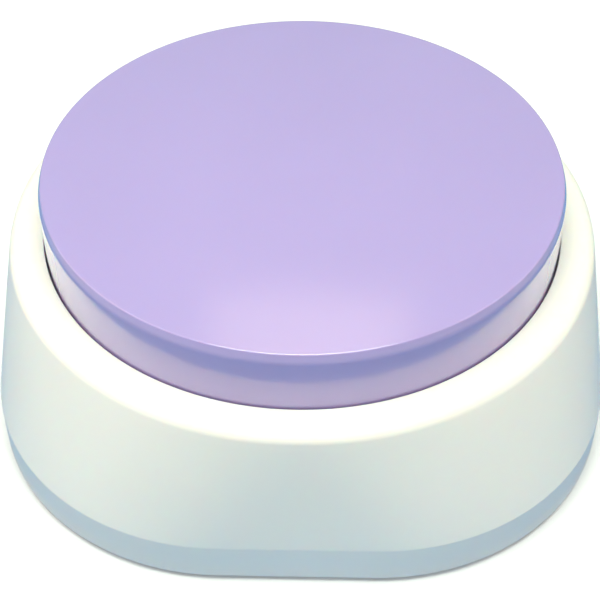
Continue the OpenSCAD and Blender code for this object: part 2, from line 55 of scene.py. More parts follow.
# Sizes in millimetres, as the CAD model has them. Those that a node's box gives are read from it.
HOUSING_LOW, HOUSING_HIGH = (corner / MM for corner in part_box("upper_housing"))
CAP_LOW, CAP_HIGH = (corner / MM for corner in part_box("push_cap"))
DOOR_LOW, DOOR_HIGH = (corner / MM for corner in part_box("battery_door"))
SCREW_LOW, SCREW_HIGH = (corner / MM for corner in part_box("housing_screws"))
FEET_LOW, FEET_HIGH = (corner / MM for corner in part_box("rubber_feet"))
DOME_LOW, DOME_HIGH = (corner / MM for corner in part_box("rubber_dome"))
SPRING_LOW, SPRING_HIGH = (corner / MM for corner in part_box("return_spring_1"))
CELL_LOW, CELL_HIGH = (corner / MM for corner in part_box("battery_back"))

BASE_HALF = HOUSING_HIGH.x
BASE_Z = HOUSING_LOW.z
RING_Z = HOUSING_HIGH.z
BAND_Z = BASE_Z + 6.3
BASE_CORNER = 34.4
SHOULDER_R = 42.4
SHOULDER_FILLET = 1.5
HOUSING_WALL = 2.2
DECK_Z = 19.2
DECK_TOP = 20.7
RING_UNDER = RING_Z - 2.1

CAP_R = CAP_HIGH.x
CROWN = 1.4
TOP_Z = CAP_HIGH.z
RIM_Z = TOP_Z - CROWN
RIM_FILLET = 0.4
RIM_BEVEL = (0.42, 1.25)
CAP_WALL = 2.0
SKIRT_Z = 23.5
WELL_R = CAP_R + 0.2
SLEEVE_R = WELL_R + 1.5
LEG_IN, LEG_OUT, LEG_WIDTH, HOOK_REACH = 29.0, 31.0, 8.0, 1.5
LEG_BOTTOM = CAP_LOW.z
HOOK_Z = DECK_Z - 0.05
SPRING_AT = 18.0
SPRING_TOP = 33.5
PLUNGER_R = 3.0

COVER_TOP = BASE_Z + 2.0
COVER_HALF = BASE_HALF - HOUSING_WALL - 0.2
COVER_CORNER = BASE_CORNER - HOUSING_WALL - 0.2
SCREW_AT = 38.0
PAD_TOP = 4.3
BOARD_TOP = 17.7
BOARD_SCREW_AT = (20.0, 13.0)
FOOT_AT = FEET_HIGH.x - 4.5
FOOT_R = 4.5
BOX_Y = 13.0
BOX_HALF = (27.0, 12.5)
BOX_WALL = 1.2
BOX_CEILING = 13.5
DOOR_TOP = 2.4
HINGE_X = -26.6
HINGE_Z = 1.6
LUG_X = 30.5
LUG_R = 4.0
SPEAKER_Y = -17.5
CLAMP_R = 15.5
EAR_AT = 17.7
EAR_ANGLES = (30, 150, 210, 330)
GRILLE_PITCH = 3.5
SWITCH_AT = (31.0, -12.0)
KNOB_REST_Y = SWITCH_AT[1] - 1.0


# ---- Mesh helpers, in millimetres ----

def new_piece(name, points, faces):
    """A mesh object from points in millimetres."""
    mesh = bpy.data.meshes.new(name)
    mesh.from_pydata([Vector(p) * MM for p in points], [], faces)
    mesh.validate()
    piece = bpy.data.objects.new(name, mesh)
    bpy.context.scene.collection.objects.link(piece)
    return piece


def skin(name, rings):
    """A closed solid over rings of equal point count, each counter-clockwise seen from the last ring."""
    n, last = len(rings[0]), len(rings) - 1
    faces = [list(range(n - 1, -1, -1))]
    for j in range(last):
        for i in range(n):
            k = (i + 1) % n
            faces.append([j * n + i, j * n + k, (j + 1) * n + k, (j + 1) * n + i])
    faces.append([last * n + i for i in range(n)])
    return new_piece(name, [p for ring in rings for p in ring], faces)


def lathe(name, profile, centre=(0, 0), segments=160):
    """A solid turned about a vertical axis. The profile runs counter-clockwise in (radius, height)."""
    points, rows = [], []
    for r, z in profile:
        if r < 1e-6:
            rows.append([len(points)] * segments)
            points.append((centre[0], centre[1], z))
            continue
        rows.append(list(range(len(points), len(points) + segments)))
        for i in range(segments):
            a = TAU * i / segments
            points.append((centre[0] + r * math.cos(a), centre[1] + r * math.sin(a), z))
    faces = []
    for row, following in zip(rows, rows[1:] + rows[:1]):
        for i in range(segments):
            k = (i + 1) % segments
            corners = [row[i], row[k], following[k], following[i]]
            face = [c for j, c in enumerate(corners) if c != corners[j - 1]]
            if len(face) > 2:
                faces.append(face)
    return new_piece(name, points, faces)


def cylinder(name, radius, low, high, centre=(0, 0), segments=64):
    return lathe(name, [(0, low), (radius, low), (radius, high), (0, high)], centre, segments)


def prism(name, outline, low, high):
    """A vertical prism over a counter-clockwise outline."""
    return skin(name, [[(x, y, z) for x, y in outline] for z in (low, high)])


def block(name, low, high):
    outline = [(low[0], low[1]), (high[0], low[1]), (high[0], high[1]), (low[0], high[1])]
    return prism(name, outline, low[2], high[2])


def arc(cx, cy, radius, start, end, steps):
    """Points on an arc, with both ends, for angles in degrees."""
    return [(cx + radius * math.cos(math.radians(a)), cy + radius * math.sin(math.radians(a)))
            for a in (start + (end - start) * i / steps for i in range(steps + 1))]


def rounded(corners, steps=6):
    """A profile through (x, y, radius) corners, each rounded by an arc of its radius."""
    points = []
    for i, (x, y, radius) in enumerate(corners):
        here = Vector((x, y))
        before = (Vector(corners[i - 1][:2]) - here).normalized()
        after = (Vector(corners[(i + 1) % len(corners)][:2]) - here).normalized()
        if not radius:
            points.append((x, y))
            continue
        half = before.angle(after) / 2
        centre = here + (before + after).normalized() * radius / math.sin(half)
        start = here + before * radius / math.tan(half) - centre
        sweep = math.pi - 2 * half
        if before.x * after.y - before.y * after.x > 0:
            sweep = -sweep
        for k in range(steps + 1):
            a = sweep * k / steps
            points.append((centre.x + start.x * math.cos(a) - start.y * math.sin(a),
                           centre.y + start.x * math.sin(a) + start.y * math.cos(a)))
    return points


def joined(name, pieces):
    """One object holding several separate solids."""
    points, faces = [], []
    for piece in pieces:
        start = len(points)
        points += [v.co / MM for v in piece.data.vertices]
        faces += [[start + v for v in p.vertices] for p in piece.data.polygons]
        bpy.data.objects.remove(piece)
    return new_piece(name, points, faces)


def combine(piece, operation, others):
    """Boolean of a piece with a list of others, which are used up."""
    for other in others:
        step = piece.modifiers.new(operation.lower(), "BOOLEAN")
        step.operation = operation
        step.solver = "MANIFOLD"
        step.object = other
    evaluated = piece.evaluated_get(bpy.context.evaluated_depsgraph_get())
    mesh = bpy.data.meshes.new_from_object(evaluated)
    piece.modifiers.clear()
    piece.data = mesh
    mesh.name = piece.name
    for other in others:
        bpy.data.objects.remove(other)
    return piece


def turned(piece, degrees, axis="Z", about=(0, 0, 0)):
    """Turns a piece's mesh about a point in millimetres."""
    spot = Matrix.Translation(Vector(about) * MM)
    piece.data.transform(spot @ Matrix.Rotation(math.radians(degrees), 4, axis) @ spot.inverted())
    return piece


def moved(piece, x, y, z):
    piece.data.transform(Matrix.Translation(Vector((x, y, z)) * MM))
    return piece


def smoothed(piece, sharp=32):
    """Smooth shading that keeps true edges, with flat faces kept flat."""
    mesh = piece.data
    mesh.polygons.foreach_set("use_smooth", [True] * len(mesh.polygons))
    mesh.set_sharp_from_angle(angle=math.radians(sharp))
    even = piece.modifiers.new("even shading", "WEIGHTED_NORMAL")
    even.keep_sharp = True
    return piece


def four_corners(x, y):
    return [(sx * x, sy * y) for sx in (-1, 1) for sy in (-1, 1)]


# ---- Materials ----

class Shader:
    """A small builder of node materials, with sizes of detail in millimetres."""

    def __init__(self, name, roughness=0.4, **sockets):
        self.material = bpy.data.materials.new(name)
        self.material.use_nodes = True
        self.nodes = self.material.node_tree.nodes
        self.links = self.material.node_tree.links
        self.surface = self.nodes["Principled BSDF"]
        self.surface.inputs["Roughness"].default_value = roughness
        for key, value in sockets.items():
            self.surface.inputs[key.replace("_", " ")].default_value = value
        self.place = self.nodes.new("ShaderNodeTexCoord").outputs["Object"]

    def noise(self, size, detail=2.0, stretch=None):
        """Noise whose features are about size millimetres across."""
        source = self.place
        if stretch:
            mapping = self.nodes.new("ShaderNodeMapping")
            mapping.inputs["Scale"].default_value = stretch
            self.links.new(source, mapping.inputs["Vector"])
            source = mapping.outputs["Vector"]
        node = self.nodes.new("ShaderNodeTexNoise")
        node.inputs["Scale"].default_value = 1 / (size * MM)
        node.inputs["Detail"].default_value = detail
        self.links.new(source, node.inputs["Vector"])
        return node.outputs["Fac"]

    def ranged(self, value, low, high, start=0.3, end=0.7):
        node = self.nodes.new("ShaderNodeMapRange")
        node.inputs["From Min"].default_value = start
        node.inputs["From Max"].default_value = end
        node.inputs["To Min"].default_value = low
        node.inputs["To Max"].default_value = high
        self.links.new(value, node.inputs["Value"])
        return node.outputs["Result"]

    def blended(self, factor, first, second):
        node = self.nodes.new("ShaderNodeMix")
        node.data_type = "RGBA"
        self.links.new(factor, node.inputs["Factor"])
        for socket, colour in ((node.inputs[6], first), (node.inputs[7], second)):
            if isinstance(colour, tuple):
                socket.default_value = (*colour, 1)
            else:
                self.links.new(colour, socket)
        return node.outputs[2]

    def colour(self, source):
        self.links.new(source, self.surface.inputs["Base Color"])
        return self

    def rough(self, source):
        self.links.new(source, self.surface.inputs["Roughness"])
        return self

    def bump(self, *layers):
        """Bump from (height, depth in millimetres) pairs."""
        normal = None
        for height, depth in layers:
            node = self.nodes.new("ShaderNodeBump")
            node.inputs["Strength"].default_value = 1
            node.inputs["Distance"].default_value = depth * MM
            self.links.new(height, node.inputs["Height"])
            if normal:
                self.links.new(normal, node.inputs["Normal"])
            normal = node.outputs["Normal"]
        self.links.new(normal, self.surface.inputs["Normal"])
        return self


def tinted(colour, factor):
    return tuple(min(1, c * factor) for c in colour)


def moulded(name, colour, roughness, texture=0.0, **sockets):
    """Injection-moulded plastic: slow flow shading, polish marks, and a fine mould texture."""
    shader = Shader(name, roughness, **sockets)
    flow = shader.ranged(shader.noise(22, 1), 0, 1)
    shader.colour(shader.blended(flow, tinted(colour, 0.985), tinted(colour, 1.015)))
    shader.rough(shader.ranged(shader.noise(5, 4), roughness * 0.85, roughness * 1.15))
    layers = [(shader.noise(3.2, 1), 0.004)]
    if texture:
        layers.append((shader.noise(0.22, 3), texture))
    shader.bump(*layers)
    return shader.material


def metal(name, colour, roughness, grain=(1, 1, 12)):
    """Drawn or plated metal with fine lines."""
    shader = Shader(name, roughness, Metallic=1.0)
    lines = shader.noise(0.5, 4, grain)
    shader.colour(shader.blended(shader.noise(2, 3), tinted(colour, 0.86), tinted(colour, 1.08)))
    shader.rough(shader.ranged(lines, roughness * 0.7, roughness * 1.3))
    shader.bump((lines, 0.004))
    return shader.material


LILAC = moulded("lilac gloss plastic", (0.41, 0.33, 0.645), 0.18, IOR=1.55, Coat_Weight=1.0, Coat_IOR=1.55,
                Coat_Roughness=0.13, Subsurface_Weight=0.12, Subsurface_Scale=0.0015)
WHITE = moulded("white satin plastic", (0.87, 0.845, 0.79), 0.36, texture=0.0015, IOR=1.5,
                Subsurface_Weight=0.25, Subsurface_Scale=0.002)
WHITE_BASE = moulded("white textured plastic", (0.84, 0.84, 0.80), 0.55, texture=0.012, IOR=1.5)
BLACK_PLASTIC = moulded("black plastic", (0.03, 0.03, 0.032), 0.45, texture=0.006)
STEEL = metal("plated screw steel", (0.62, 0.63, 0.65), 0.28)
WIRE_STEEL = metal("bright spring wire", (0.70, 0.71, 0.73), 0.2)
PRESSED_STEEL = metal("pressed steel", (0.52, 0.53, 0.54), 0.35)


def soft_rubber(name, colour):
    shader = Shader(name, 0.6, Subsurface_Weight=0.1)
    shader.surface.inputs["Subsurface Scale"].default_value = 0.002
    shader.colour(shader.blended(shader.noise(3, 3), tinted(colour, 0.94), tinted(colour, 1.05)))
    shader.rough(shader.ranged(shader.noise(0.6, 4), 0.5, 0.72))
    shader.bump((shader.noise(0.18, 2), 0.008))
    return shader.material


RUBBER = soft_rubber("grey foot rubber", (0.55, 0.56, 0.58))
SILICONE = soft_rubber("milky silicone", (0.66, 0.66, 0.62))


def cell_jacket():
    """Film jacket in plain teal, with a copper-coloured shoulder and bare steel ends, along the cell."""
    shader = Shader("cell jacket", 0.3, Coat_Weight=0.4)
    split = shader.nodes.new("ShaderNodeSeparateXYZ")
    shader.links.new(shader.place, split.inputs["Vector"])
    along = shader.nodes.new("ShaderNodeMath")
    along.operation = "ABSOLUTE"
    shader.links.new(split.outputs["X"], along.inputs[0])
    mottled = shader.blended(shader.noise(1.5, 3), (0.02, 0.20, 0.19), (0.03, 0.25, 0.23))
    band = shader.ranged(along.outputs[0], 0, 1, 0.0125, 0.0127)
    coloured = shader.blended(band, mottled, (0.55, 0.30, 0.13))
    bare = shader.ranged(along.outputs[0], 0, 1, 0.0236, 0.0237)
    shader.colour(shader.blended(bare, coloured, (0.6, 0.61, 0.62)))
    shader.links.new(shader.ranged(band, 0.1, 0.9, 0, 1), shader.surface.inputs["Metallic"])
    shader.rough(shader.ranged(shader.noise(0.8, 4), 0.24, 0.36))
    shader.bump((shader.noise(2.5, 2), 0.01))
    return shader.material


def speckled(name, colour, second, size, roughness, depth=0.005, **sockets):
    """A surface with two mixed tones and a matching relief."""
    shader = Shader(name, roughness, **sockets)
    spots = shader.noise(size, 4)
    shader.colour(shader.blended(shader.ranged(spots, 0, 1, 0.42, 0.58), colour, second))
    shader.rough(shader.ranged(spots, roughness * 0.8, roughness * 1.2))
    shader.bump((spots, depth))
    return shader.material


CELL = cell_jacket()
BOARD = speckled("green circuit board", (0.02, 0.16, 0.07), (0.04, 0.25, 0.11), 0.8, 0.35, Coat_Weight=0.5)
RESIN = speckled("black resin", (0.012, 0.012, 0.012), (0.03, 0.03, 0.03), 1.2, 0.25)
COMPONENT = speckled("component bodies", (0.09, 0.06, 0.035), (0.20, 0.15, 0.10), 0.7, 0.5)
SLEEVE = speckled("capacitor sleeve", (0.02, 0.03, 0.11), (0.035, 0.05, 0.16), 1.0, 0.28)
FERRITE = speckled("ferrite", (0.045, 0.045, 0.05), (0.10, 0.10, 0.105), 0.4, 0.6, 0.02)
FILM = speckled("speaker film", (0.015, 0.015, 0.017), (0.035, 0.035, 0.04), 0.6, 0.5, 0.01)
RED_WIRE = speckled("red insulation", (0.45, 0.02, 0.015), (0.58, 0.04, 0.03), 1.5, 0.4)
BLACK_WIRE = speckled("black insulation", (0.015, 0.015, 0.015), (0.035, 0.035, 0.035), 1.5, 0.4)
BLUE_WIRE = speckled("blue insulation", (0.02, 0.05, 0.36), (0.04, 0.08, 0.48), 1.5, 0.4)


def placed(piece, body, node, material, sharp=32):
    """Finishes a piece that stands for a CAD node: its shading, material and body, and hides the node."""
    smoothed(piece, sharp)
    piece.data.materials.clear()
    piece.data.materials.append(material)
    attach(piece, body)
    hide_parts(node)
    return piece


# ---- Button ----

def crown_z(r):
    return RIM_Z + CROWN * (1 - (r / (CAP_R - RIM_FILLET)) ** 2)


def cap_shell():
    """Domed top, bevelled rim and skirt, as one turned shell."""
    inside_r = CAP_R - CAP_WALL
    inside_edge = inside_r - 0.8
    bevel_r = CAP_R - RIM_BEVEL[0]
    crown_from = bevel_r - 0.5
    profile = rounded([
        (inside_r, SKIRT_Z, 0.35), (CAP_R, SKIRT_Z, 0.35), (CAP_R, RIM_Z - RIM_BEVEL[1], 3),
        (bevel_r, crown_z(bevel_r), 0.25), (crown_from, crown_z(crown_from), 0)])
    profile += [(r, crown_z(r)) for r in (crown_from * (1 - i / 36) for i in range(1, 36))]
    profile += [(0, crown_z(0)), (0, crown_z(0) - CAP_WALL)]
    profile += [(r, crown_z(r) - CAP_WALL) for r in (inside_edge * i / 12 for i in range(1, 13))]
    profile += [(inside_r, crown_z(inside_edge) - CAP_WALL - 0.8)]
    return lathe("button", profile, segments=256)


def hook_leg(angle):
    root = crown_z(LEG_OUT) - CAP_WALL / 2
    outline = [(LEG_IN, root), (LEG_IN, LEG_BOTTOM), (LEG_OUT, LEG_BOTTOM),
               (LEG_OUT + HOOK_REACH, HOOK_Z - 0.6), (LEG_OUT + HOOK_REACH, HOOK_Z),
               (LEG_OUT, HOOK_Z), (LEG_OUT, root)]
    half = LEG_WIDTH / 2
    leg = skin("leg", [[(x, y, z) for x, z in outline] for y in (half, -half)])
    return turned(leg, angle)


def button():
    root = crown_z(SPRING_AT * math.sqrt(2)) - CAP_WALL / 2
    adds = [hook_leg(a) for a in (0, 90, 180, 270)]
    for spot in four_corners(SPRING_AT, SPRING_AT):
        adds.append(lathe("seat", [
            (0, SPRING_TOP - 3), (1.7, SPRING_TOP - 3), (2.1, SPRING_TOP - 2.6), (2.1, SPRING_TOP),
            (3.6, SPRING_TOP), (3.6, root), (0, root)], spot, 48))
    plunger_z = DOME_HIGH.z + 0.2
    adds.append(cylinder("plunger", PLUNGER_R, plunger_z, plunger_z + 1.5))
    top = crown_z(0) - CAP_WALL / 2
    adds.append(block("rib", (-PLUNGER_R + 0.02, -0.6, plunger_z + 1), (PLUNGER_R - 0.02, 0.6, top)))
    adds.append(block("rib", (-0.6, -PLUNGER_R + 0.02, plunger_z + 1), (0.6, PLUNGER_R - 0.02, top - 0.01)))
    return combine(cap_shell(), "UNION", adds)


placed(button(), "button", "push_cap", LILAC, 40)


# ---- Housing ----

CORNER_STEPS = 40
FLAT_STEPS = 10
CREASE = 0.35


def side_half(z):
    """Half width of the outline at height z: upright band, a soft crease, then the slope."""
    slope = (BASE_HALF - SHOULDER_R) / (RING_Z - BAND_Z)
    rise = z - BAND_Z
    if rise <= -CREASE:
        return BASE_HALF
    if rise >= CREASE:
        return BASE_HALF - slope * rise
    return BASE_HALF - slope * (rise + CREASE) ** 2 / (4 * CREASE)


def corner_offset(z):
    """Distance from the middle to the corner arcs' centres: the outline is a circle at the ring."""
    share = max(0, min(1, (z - BAND_Z) / (RING_Z - BAND_Z)))
    return (BASE_HALF - BASE_CORNER) * (1 - share) + 0.02


def outline(half, offset, z):
    """One rounded square of points, counter-clockwise, with its flats divided."""
    points = []
    for q in range(4):
        cx = offset if q in (0, 3) else -offset
        cy = offset if q < 2 else -offset
        points += arc(cx, cy, half - offset, 90 * q, 90 * q + 90, CORNER_STEPS)
        start, end = points[-1], arc(-cy, cx, half - offset, 90 * q + 90, 90 * q + 91, 1)[0]
        points += [tuple(s + (e - s) * i / FLAT_STEPS for s, e in zip(start, end))
                   for i in range(1, FLAT_STEPS)]
    return [(x, y, z) for x, y in points]


def outer_form():
    foot_fillet = 0.4
    rings = []
    for a in range(0, 91, 15):
        drop = foot_fillet * (1 - math.sin(math.radians(a)))
        z = BASE_Z + foot_fillet * (1 - math.cos(math.radians(a)))
        rings.append(outline(BASE_HALF - drop, corner_offset(z), z))
    rings += [outline(side_half(z), corner_offset(z), z)
              for z in (BASE_Z + 2, BASE_Z + 4, *(BAND_Z + CREASE * k / 4 for k in range(-4, 5)))]
    slope_angle = math.degrees(math.atan((BASE_HALF - SHOULDER_R) / (RING_Z - BAND_Z)))
    fillet_x = SHOULDER_R - SHOULDER_FILLET * math.tan(math.radians((90 - slope_angle) / 2))
    fillet_z = RING_Z - SHOULDER_FILLET
    side_top = fillet_z + SHOULDER_FILLET * math.sin(math.radians(slope_angle))
    side_steps = 12
    for i in range(1, side_steps):
        z = BAND_Z + CREASE + (side_top - BAND_Z - CREASE) * i / side_steps
        rings.append(outline(side_half(z), corner_offset(z), z))
    for i in range(15):
        a = math.radians(slope_angle + (90 - slope_angle) * i / 14)
        z = fillet_z + SHOULDER_FILLET * math.sin(a)
        rings.append(outline(fillet_x + SHOULDER_FILLET * math.cos(a), corner_offset(z), z))
    return skin("housing", rings)


def inner_form():
    return skin("inside", [outline(side_half(z) - HOUSING_WALL, corner_offset(z), z)
                           for z in (BASE_Z - 1, BAND_Z - CREASE, BAND_Z + CREASE, RING_UNDER)])


def well():
    """The space around the button, flared at its mouth by a small rolled edge."""
    edge = 0.15
    profile = [(0, DECK_TOP), (WELL_R, DECK_TOP)]
    profile += arc(WELL_R + edge, RING_Z - edge, edge, 180, 90, 8)
    profile += [(WELL_R + edge, RING_Z + 1), (0, RING_Z + 1)]
    space = lathe("well", profile, segments=256)
    cups = []
    for spot in four_corners(SPRING_AT, SPRING_AT):
        cups.append(lathe("cup", [(3.4, DECK_TOP - 1), (4.6, DECK_TOP - 1), (4.6, DECK_TOP + 2),
                                  (3.4, DECK_TOP + 2)], spot, 48))
    return combine(space, "DIFFERENCE", cups)


def housing():
    shell = combine(outer_form(), "DIFFERENCE", [inner_form()])
    adds = [cylinder("sleeve", SLEEVE_R, DECK_Z, RING_UNDER + 0.6, segments=256)]
    for angle in (0, 90, 180, 270):
        spot = (SCREW_AT * math.cos(math.radians(angle)), SCREW_AT * math.sin(math.radians(angle)))
        adds.append(cylinder("boss", 3.5, PAD_TOP, DECK_Z + 0.5, spot))
    for spot in four_corners(*BOARD_SCREW_AT):
        adds.append(cylinder("boss", 2.4, BOARD_TOP, DECK_Z + 0.5, spot))
    combine(shell, "UNION", adds)
    cuts = [well(), cylinder("dome hole", 6.5, DECK_Z - 1, DECK_TOP + 3)]
    for angle in (0, 90, 180, 270):
        half = LEG_WIDTH / 2 + 0.3
        cuts.append(turned(block("slot", (LEG_IN - 1.7, -half, DECK_Z - 1),
                                 (LEG_OUT + 0.3, half, DECK_TOP + 1)),
                           angle))
        spot = (SCREW_AT * math.cos(math.radians(angle)), SCREW_AT * math.sin(math.radians(angle)))
        cuts.append(cylinder("pilot hole", 1.45, PAD_TOP - 1, PAD_TOP + 9, spot, 32))
    for spot in four_corners(*BOARD_SCREW_AT):
        cuts.append(cylinder("pilot hole", 0.95, BOARD_TOP - 1, BOARD_TOP + 2.4, spot, 32))
    return combine(shell, "DIFFERENCE", cuts)


placed(housing(), "housing", "upper_housing", WHITE, 30)


# ---- Springs and dome ----

def coil_rise(turn, turns, height, wire, closed):
    shut = 2.1 * wire
    pitch = (height - 2 * wire - 2 * closed * shut) / (turns - 2 * closed)
    low, high = min(turn, closed), max(0, turn - (turns - closed))
    return wire + shut * (low + high) + pitch * (turn - low - high)


def coil(name, r_low, r_high, height, turns, wire, closed, sides=12, per_turn=36):
    """A helical spring standing at the origin."""
    rings = []
    for i in range(int(turns * per_turn) + 1):
        turn = i / per_turn
        r = r_low + (r_high - r_low) * turn / turns
        z = coil_rise(turn, turns, height, wire, closed)
        a = turn * TAU
        ring = []
        for k in range(sides):
            p = r + wire * math.sin(k * TAU / sides)
            ring.append((p * math.cos(a), p * math.sin(a), z + wire * math.cos(k * TAU / sides)))
        rings.append(ring)
    return skin(name, rings)


spring_height = SPRING_HIGH.z - SPRING_LOW.z
for number, (x, y) in enumerate(((1, 1), (-1, 1), (-1, -1), (1, -1)), 1):
    spring = moved(coil(f"spring_{number}", 2.7, 2.7, spring_height, 7, 0.3, 1),
                   x * SPRING_AT, y * SPRING_AT, SPRING_LOW.z)
    placed(spring, "housing", f"return_spring_{number}", WIRE_STEEL, 50)
    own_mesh(spring)


def dome_switch():
    pill = DOME_HIGH.z - 2.4
    flange = DECK_Z - 0.05
    profile = [(5.1, BOARD_TOP)]
    profile += [(8.3, BOARD_TOP), (8.5, BOARD_TOP + 0.2), (8.5, flange - 0.2), (8.3, flange), (5.9, flange)]
    profile += arc(5.9, flange + 0.5, 0.5, 270, 215, 4)
    profile += [(3.3, DOME_HIGH.z - 1.4), (3.0, DOME_HIGH.z - 1.1)]
    profile += arc(2.6, DOME_HIGH.z - 0.4, 0.4, 0, 90, 5)
    profile += [(0, DOME_HIGH.z), (0, pill), (2, pill), (2, pill + 0.6), (2.6, pill + 0.6),
                (5.1, flange - 0.55)]
    return lathe("dome_switch", profile, segments=96)


dome = placed(dome_switch(), "housing", "rubber_dome", SILICONE)
# The plunger takes up its small gap before it flattens the dome.
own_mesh(dome)


# ---- Bottom cover, with softened edges ----

def flared_hole(name, radius, low, high, centre, flare=0.2, segments=32):
    """Cutter for a round hole with a rolled edge at its lower end."""
    profile = [(0, low - 1), (radius + flare, low - 1)]
    profile += arc(radius + flare, low + flare, flare, 270, 180, 4)
    profile += [(radius, high), (0, high)]
    return lathe(name, profile, centre, segments)


def lug_outline(grow, left):
    """Outline of the door with its screw lug."""
    low, high = BOX_Y - BOX_HALF[1] - grow, BOX_Y + BOX_HALF[1] + grow
    right = BOX_HALF[0] + grow
    points = [(left, low), (right, low), (right, BOX_Y - LUG_R - grow)]
    points += arc(LUG_X, BOX_Y, LUG_R + grow, 270, 450, 24)
    points += [(right, BOX_Y + LUG_R + grow), (right, high), (left, high)]
    return points


def flared_prism(name, grown, low, high, flare=0.2):
    """Cutter over an outline that a function grows, flared at its lower end."""
    rings = [[(x, y, low - 1) for x, y in grown(flare)]]
    for a in (0, 22.5, 45, 67.5, 90):
        out = flare * (1 - math.sin(math.radians(a)))
        rings.append([(x, y, low + flare * (1 - math.cos(math.radians(a)))) for x, y in grown(out)])
    rings.append([(x, y, high) for x, y in grown(0)])
    return skin(name, rings)


def rounded_plate(name, grown, low, high, fillet=0.3):
    """Solid over an outline that a function grows, with a rolled lower edge."""
    rings = []
    for a in (0, 22.5, 45, 67.5, 90):
        inset = fillet * (1 - math.sin(math.radians(a)))
        rings.append([(x, y, low + fillet * (1 - math.cos(math.radians(a)))) for x, y in grown(-inset)])
    rings.append([(x, y, high) for x, y in grown(0)])
    return skin(name, rings)


def cover_outline(grow):
    return [(x, y) for x, y, z in outline(COVER_HALF + grow, COVER_HALF - COVER_CORNER, 0)]


def ear_spots():
    return [(EAR_AT * math.cos(math.radians(a)), SPEAKER_Y + EAR_AT * math.sin(math.radians(a)))
            for a in EAR_ANGLES]


def side_spots():
    return [(SCREW_AT, 0), (0, SCREW_AT), (-SCREW_AT, 0), (0, -SCREW_AT)]


def grille_spots():
    spots = [(0, SPEAKER_Y)]
    for ring in (1, 2, 3):
        for k in range(6 * ring):
            a = math.radians(60 * k / ring)
            spots.append((GRILLE_PITCH * ring * math.cos(a), SPEAKER_Y + GRILLE_PITCH * ring * math.sin(a)))
    return spots


def tongue_blocks(grow_side, low, high, left, right):
    return [block("tongue", (left, BOX_Y + s * 6.5 - 3 - grow_side, low),
                  (right, BOX_Y + s * 6.5 + 3 + grow_side, high))
            for s in (-1, 1)]


def cover_adds():
    """The battery box, bosses, pads and walls that stand on the cover."""
    adds = [block("box", (-BOX_HALF[0], BOX_Y - BOX_HALF[1], BASE_Z + 0.6),
                  (BOX_HALF[0], BOX_Y + BOX_HALF[1], BOX_CEILING + 1.2)),
            prism("ledge", lug_outline(1.6, -BOX_HALF[0] - 3), COVER_TOP - 1, 4),
            cylinder("door boss", 3.4, COVER_TOP - 1.1, 8, (LUG_X, BOX_Y))]
    adds += [cylinder("pad", 4.5, BASE_Z + 0.7, PAD_TOP, spot) for spot in side_spots()]
    adds.append(lathe("speaker wall", [(14.3, COVER_TOP - 0.5), (CLAMP_R, COVER_TOP - 0.5), (CLAMP_R, 4),
                                       (14.3, 4)], (0, SPEAKER_Y), 128))
    adds += [cylinder("post", 2.2, COVER_TOP - 0.6, 4, spot) for spot in ear_spots()]
    for s in (-1, 1):
        y = SWITCH_AT[1] + s * 5.2
        adds.append(block("stop", (SWITCH_AT[0] - 2, y - 0.5, COVER_TOP - 0.5),
                          (SWITCH_AT[0] + 2, y + 0.5, 5)))
    return adds


def cover_cuts():
    """The battery space, the recesses and every hole in the cover."""
    inner = (BOX_HALF[0] - BOX_WALL, BOX_HALF[1] - BOX_WALL)
    cuts = [block("space", (-inner[0], BOX_Y - inner[1], BASE_Z - 1),
                  (inner[0], BOX_Y + inner[1], BOX_CEILING)),
            flared_prism("door recess", lambda g: lug_outline(0.2 + g, HINGE_X - 1 - g),
                         BASE_Z, DOOR_TOP + 0.1),
            cylinder("door screw hole", 1.4, 2, 6.5, (LUG_X, BOX_Y), 32)]
    cuts += tongue_blocks(0.3, 1.5, 5, HINGE_X - 2.7, HINGE_X - 0.5)
    cuts += tongue_blocks(0.31, 2, 4.4, HINGE_X - 1, -inner[0] + 0.5)
    for s in (-1, 1):
        cuts.append(block("tab slot", (inner[0] - 0.5, BOX_Y + s * 5.6 - 1.6, 12.5),
                          (inner[0] + 0.1, BOX_Y + s * 5.6 + 1.6, 15.5)))
    for spot in side_spots():
        cuts.append(flared_hole("counterbore", 3.2, BASE_Z, 3, spot, 0.3, 64))
        cuts.append(cylinder("screw hole", 1.7, 2.9, 6, spot, 32))
    cuts += [flared_hole("foot recess", FOOT_R + 0.1, BASE_Z, BASE_Z + 0.8, spot, 0.2, 64)
             for spot in four_corners(FOOT_AT, FOOT_AT)]
    cuts += [flared_hole("grille hole", 0.9, BASE_Z, 3.5, spot, 0.25, 28) for spot in grille_spots()]
    cuts += [cylinder("pilot hole", 0.95, 1.6, 5, spot, 28) for spot in ear_spots()]
    cuts.append(flared_prism("switch recess", lambda g: rectangle(SWITCH_AT, (2 + g, 3.4 + g)), BASE_Z, 2))
    cuts.append(block("switch slot", (SWITCH_AT[0] - 1, SWITCH_AT[1] - 2.15, 1.9),
                      (SWITCH_AT[0] + 1, SWITCH_AT[1] + 2.15, 4)))
    return cuts


def bottom_cover():
    cover = rounded_plate("cover", cover_outline, BASE_Z, COVER_TOP)
    combine(cover, "UNION", cover_adds())
    return combine(cover, "DIFFERENCE", cover_cuts())


def rectangle(centre, half, corner=0.5, steps=6):
    """Counter-clockwise rectangle with round corners."""
    points = []
    for q, (sx, sy) in enumerate(((1, 1), (-1, 1), (-1, -1), (1, -1))):
        points += arc(centre[0] + sx * (half[0] - corner), centre[1] + sy * (half[1] - corner), corner,
                      90 * q, 90 * q + 90, steps)
    return points


placed(bottom_cover(), "housing", "bottom_cover", WHITE_BASE, 30)


# ---- Battery door ----

